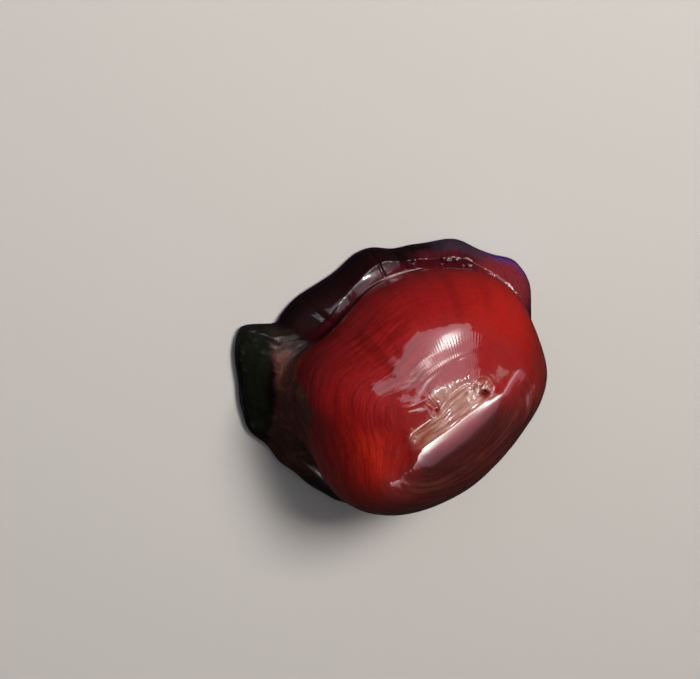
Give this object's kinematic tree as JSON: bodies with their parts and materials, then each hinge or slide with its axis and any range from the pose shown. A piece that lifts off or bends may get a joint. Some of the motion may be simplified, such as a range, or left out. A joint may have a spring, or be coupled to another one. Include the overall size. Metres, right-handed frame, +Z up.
{
  "type": "beadlet anemone",
  "caption": "Closed beadlet anemone out of the water: a glossy domed column with a pleated, slit-shaped closed mouth, standing on a wide foot with a rolled, lobed skirt.",
  "frame": {"origin": "on the floor, under the middle of the overall box", "axes": "+X along the slit of the closed mouth, towards its narrow end; +Y towards the back of the animal; +Z up, out of the sole"},
  "size_m": [0.0526, 0.0429, 0.0259],
  "materials": {
    "foot": "wet, glossy",
    "skirt": "wet, glossy",
    "column": "wet, glossy",
    "lips": "wet, glossy",
    "mouth": "wet, satin"
  },
  "bodies": {
    "root": {"pedal_disc": "foot", "skirt_front": "skirt", "skirt_right": "skirt", "skirt_back": "skirt", "skirt_left": "skirt", "column_lower": "column", "column_upper": "column", "lip_front": "lips", "lip_back": "lips", "oral_disc": "mouth"}
  },
  "joints": []
}
